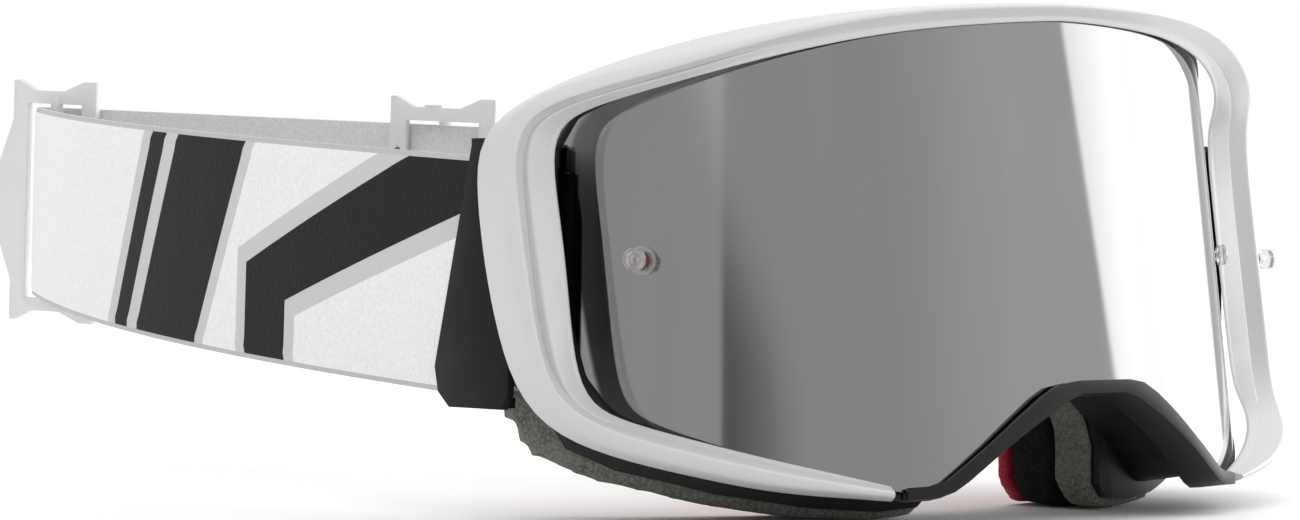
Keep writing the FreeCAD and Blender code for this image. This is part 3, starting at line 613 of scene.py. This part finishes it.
CORNER_RADII = (0.35, 0.5, 0.9, 1.3, 0.6, 0.5, 0.5, 0.3)
FRAME_STEP = 3.0
EVENING = 6            # passes that even out the sections
RIDGE_DEPTH = 4.2
LIP_THICK = 0.7
REAR_WALL = 1.4


def close_section(corners):
    """Adds the inner side of the shell to one section."""
    inner, groove, ridge, front, rear = corners
    at_wing = abs(rear[1]) < 35 and rear[0] > 100
    lift = 0 if at_wing else -math.copysign(REAR_WALL, rear[1])
    shift = REAR_WALL if at_wing else 0
    back = [(rear[0] - shift, rear[1] + lift, rear[2] - shift),
            (ridge[0], ridge[1] + 0.5 * lift, max(ridge[2] - RIDGE_DEPTH, inner[2] - LIP_THICK)),
            (inner[0], inner[1], inner[2] - LIP_THICK)]
    return [tuple(in_metres(*corner)) for corner in list(corners) + back]


def rounded(points, radii):
    """Rounds each corner of a closed section with five points on a curve."""
    round_points = []
    corners = [Vector(point) for point in points]
    for i, corner in enumerate(corners):
        before, after = corners[i - 1] - corner, corners[(i + 1) % len(corners)] - corner
        start = corner + before * min(0.45, radii[i] * MM / before.length)
        end = corner + after * min(0.45, radii[i] * MM / after.length)
        for k in range(5):
            t = k / 4
            round_points.append(start * (1 - t) ** 2 + corner * 2 * t * (1 - t) + end * t * t)
    return round_points


def frame_stations():
    """Sections every few millimetres from the middle of the top to the end beside the nose."""
    count = len(FRAME_SECTIONS)
    filled = []
    for i in range(count - 1):
        around = [FRAME_SECTIONS[min(max(k, 0), count - 1)] for k in range(i - 1, i + 3)]
        pieces = max(1, math.ceil(math.dist(around[1][2], around[2][2]) / FRAME_STEP))
        for k in range(pieces):
            filled.append([tuple(between(*four, k / pieces) for four in zip(*values))
                           for values in zip(*around)])
    return filled + [FRAME_SECTIONS[-1]]


def evened(stations, passes):
    """Moves each section towards the mean of its neighbours, so that no waves are left along the shell."""
    for _ in range(passes):
        mirror_image = [(-x, y, z) for x, y, z in stations[1]]
        before = [mirror_image] + stations[:-1]
        after = stations[1:] + [stations[-1]]
        stations = [[tuple((a + 2 * b + c) / 4 for a, b, c in zip(*three)) for three in zip(*sections)]
                    for sections in zip(before, stations, after)]
    return stations


def make_outer_frame():
    sections = evened([close_section(corners) for corners in frame_stations()], EVENING)
    half = [rounded(section, CORNER_RADII) for section in sections]
    flip = Matrix.Scale(-1, 4, (1, 0, 0))
    loops = [[flip @ p for p in section] for section in reversed(half[1:])] + half
    bm = bmesh.new()
    rings = []
    for section in loops:
        verts = [bm.verts.new(p) for p in section]
        rings.append([bm.edges.new((verts[i - 1], verts[i])) for i in range(len(verts))])
    for first, second in zip(rings, rings[1:]):
        bmesh.ops.bridge_loops(bm, edges=first + second)
    bmesh.ops.holes_fill(bm, edges=rings[0] + rings[-1])
    bmesh.ops.recalc_face_normals(bm, faces=bm.faces)
    return add_piece(bm, "outer_frame_shell", [WHITE_NYLON], "mask", ["outer_frame"], 60.0)


shell = make_outer_frame()
print("outer frame faces", len(shell.data.polygons))

# %% [markdown]
# ## Face foam
# Three layers are glued in a stack and die-cut together. Foam has no crisp edges: each layer
# swells a little between its glued faces. So each copy is remeshed finely, softened and pushed
# out a little with a fine unevenness, which leaves round edges and shallow seams between layers.

# %% Foam layers
PAD_STEP = 1.5         # size of the pads' mesh
PAD_GRAIN = 4.0        # size and depth of their unevenness
PAD_DEPTH = 0.12


def make_foam(name, material, swell):
    bm = copied(name)
    bmesh.ops.triangulate(bm, faces=bm.faces)
    pad = add_piece(bm, name + "_pad", [material], None, [name], 60.0)
    remesh = pad.modifiers.new("even_mesh", "REMESH")
    remesh.mode = "VOXEL"
    remesh.voxel_size = PAD_STEP * MM
    soften = pad.modifiers.new("soften", "SMOOTH")
    soften.factor = 0.5
    soften.iterations = 4
    applied = bpy.data.meshes.new_from_object(pad.evaluated_get(bpy.context.evaluated_depsgraph_get()))
    pad.modifiers.clear()
    pad.data = applied
    for vert in pad.data.vertices:
        bump = noise.fractal(vert.co / (PAD_GRAIN * MM), 1.0, 2.0, 3)
        vert.co += vert.normal * (swell + PAD_DEPTH * bump) * MM
    pad.data.shade_smooth()
    pad.data.materials.clear()
    pad.data.materials.append(material)
    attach(pad, "mask")
    return pad


for name, material, swell in (("foam_front", GREY_FOAM, 0.0), ("foam_middle", BLACK_FOAM, 0.1),
                              ("face_fleece", RED_FLEECE, 0.2)):
    pad = make_foam(name, material, swell)
    print(pad.name, len(pad.data.polygons))

# %% [markdown]
# ## Strap
# One length of elastic starts in a sewn loop on the right clip, runs round the back, folds
# through the rear slider and ends on the left slider. A second length starts on the left clip
# and ends on the rear slider. Each is drawn flat, given rolled edges, and then laid along a
# path of straights and arcs. Each is cut into several lengths.

# %% Strap paths
STRAP_THICK = 1.6
RISE = Matrix.Translation((0, 36 * MM, -2.8 * MM)) @ Matrix.Rotation(math.radians(3.2), 4, "X")
HALF_SPAN = 88.85
BAND_START = 5.0
BAR_X = 86.4
BAR_LOCAL_Y = -11.5
LOOP_R = 2.45
TUCK = 9.0             # end that lies inside the sewn loop
NEAR_R, NEAR_TURN = 600.0, 24.5
FAR_R = 150.0
FOLD_R, UNDER_R = 4.3, 2.4
LEFT_SLIDER_AT = 101.0


def path_from(x, y, heading, moves):
    """Stations of a path: each move is (length in mm, turn to the left in degrees)."""
    runs, place, turn, total = [], Vector((x, y)), math.radians(heading), 0.0
    for length, bend in moves:
        runs.append((total, length, place.copy(), turn, math.radians(bend) / length))
        place, turn = step_along(runs[-1], length)
        total += length
    return runs, total


def step_along(run, length):
    start, _, place, turn, curve = run
    if abs(curve) < 1e-9:
        return place + Vector((math.cos(turn), math.sin(turn))) * length, turn
    after = turn + curve * length
    offset = Vector((math.sin(after) - math.sin(turn), math.cos(turn) - math.cos(after))) / curve
    return place + offset, after


def at_length(runs, s):
    run = [r for r in runs if r[0] <= s + 1e-6][-1]
    return step_along(run, s - run[0])


near = math.radians(NEAR_TURN)
near_end = Vector((-HALF_SPAN + NEAR_R * (1 - math.cos(near)), BAND_START + NEAR_R * math.sin(near)))
fold = near_end + Vector((math.cos(near), -math.sin(near))) * FOLD_R


def far_bend():
    """Turn of the left bend, found by halving, that makes its straight reach the fold."""
    low, high = 0.1, 1.2
    for _ in range(50):
        turn = (low + high) / 2
        out = Vector((math.cos(turn), math.sin(turn)))
        bend_end = Vector((HALF_SPAN - FAR_R, BAND_START)) + out * FAR_R
        if (bend_end - fold - out * UNDER_R).dot(out) > 0:
            low = turn
        else:
            high = turn
    return turn, bend_end


FAR, bend_end = far_bend()
RIGHT_MOVES = [(TUCK, 0), (LOOP_R * math.pi, -180), (BAND_START - BAR_LOCAL_Y, 0),
               (NEAR_R * near, -NEAR_TURN),
               (FOLD_R * (math.pi - near - FAR), -(180 - NEAR_TURN - math.degrees(FAR))),
               (LEFT_SLIDER_AT - 1, 0)]
right_path, right_total = path_from(-BAR_X + LOOP_R, BAR_LOCAL_Y + TUCK, -90, RIGHT_MOVES)
U_START = TUCK + LOOP_R * math.pi + BAND_START - BAR_LOCAL_Y
straight = (bend_end - fold).length - 2.0
LEFT_MOVES = [(TUCK, 0), (LOOP_R * math.pi, 180), (BAND_START - BAR_LOCAL_Y, 0),
              (FAR_R * FAR, math.degrees(FAR)), (straight, 0)]
left_path, left_total = path_from(BAR_X - LOOP_R, BAR_LOCAL_Y + TUCK, -90, LEFT_MOVES)
print("strap lengths, mm", round(right_total), round(left_total), "far bend", round(math.degrees(FAR), 2))


# %% Strap bands
def make_band(name, runs, start, end, outside, step, replaced):
    """One length of the strap. outside is the side of the path that carries the print: 1 left, -1 right."""
    length = end - start
    bm = bmesh.new()
    bmesh.ops.create_grid(bm, x_segments=max(2, round(length / step)), y_segments=22, size=0.5)
    bmesh.ops.scale(bm, vec=(length, 2 * STRAP_HALF - 1.6, 1), verts=bm.verts)
    bmesh.ops.rotate(bm, matrix=Matrix.Rotation(math.pi / 2, 3, "X"), verts=bm.verts)
    bmesh.ops.translate(bm, vec=(length / 2, 0, 0), verts=bm.verts)
    bmesh.ops.solidify(bm, geom=bm.faces[:], thickness=STRAP_THICK)
    middle = sum((v.co.y for v in bm.verts)) / len(bm.verts)
    bmesh.ops.translate(bm, vec=(0, -middle, 0), verts=bm.verts)
    # The outermost row is thinned and pushed out, and the rows beside it swell: a rolled edge.
    for vert in bm.verts:
        if abs(abs(vert.co.z) - STRAP_HALF + 0.8) < 0.01:
            vert.co.z += math.copysign(0.5, vert.co.z)
            vert.co.y *= 0.55
        elif abs(vert.co.z) > STRAP_HALF - 3.2:
            vert.co.y *= 1.16
    bmesh.ops.recalc_face_normals(bm, faces=bm.faces)
    layer = bm.loops.layers.uv.new("strap")
    for face in bm.faces:
        face.material_index = 0 if face.normal.y * outside > 0.3 else 1
        for loop in face.loops:
            loop[layer].uv = (start + loop.vert.co.x - U_START, loop.vert.co.z)
    for vert in bm.verts:
        place, turn = at_length(runs, min(max(start + vert.co.x, 0.0), runs[-1][0] + runs[-1][1]))
        across = Vector((-math.sin(turn), math.cos(turn))) * vert.co.y
        vert.co = RISE @ (Vector((place.x + across.x, place.y + across.y, vert.co.z)) * MM)
    bmesh.ops.recalc_face_normals(bm, faces=bm.faces)
    return add_piece(bm, name, [PRINTED_KNIT, PLAIN_KNIT], None, replaced, 60.0)


def blend_band(band):
    """Bakes the band's placement into its mesh."""
    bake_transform(band)


OVER_AT = right_path[5][0]
OVER_CUT = OVER_AT + 48
band = make_band("band_right_front", right_path, 0, U_START + 60, 1, 1.5, ["strap_loop_right"])
blend_band(band)
band = make_band("band_right_back", right_path, U_START + 60, OVER_AT + 4, 1, 1.2,
                 ["strap_right", "strap_fold"])
blend_band(band)
band = make_band("band_over_back", right_path, OVER_AT + 4, OVER_CUT, 1, 1.5, ["strap_overlap"])
blend_band(band)
band = make_band("band_over_front", right_path, OVER_CUT, right_total, 1, 1.5, ["slider_left_loop"])
blend_band(band)
band = make_band("band_left_front", left_path, 0, U_START + 60, -1, 1.5, ["strap_loop_left"])
blend_band(band)
band = make_band("band_left_back", left_path, U_START + 60, left_total, -1, 1.5,
                 ["strap_left", "slider_rear_loop"])
blend_band(band)
print("bands made")
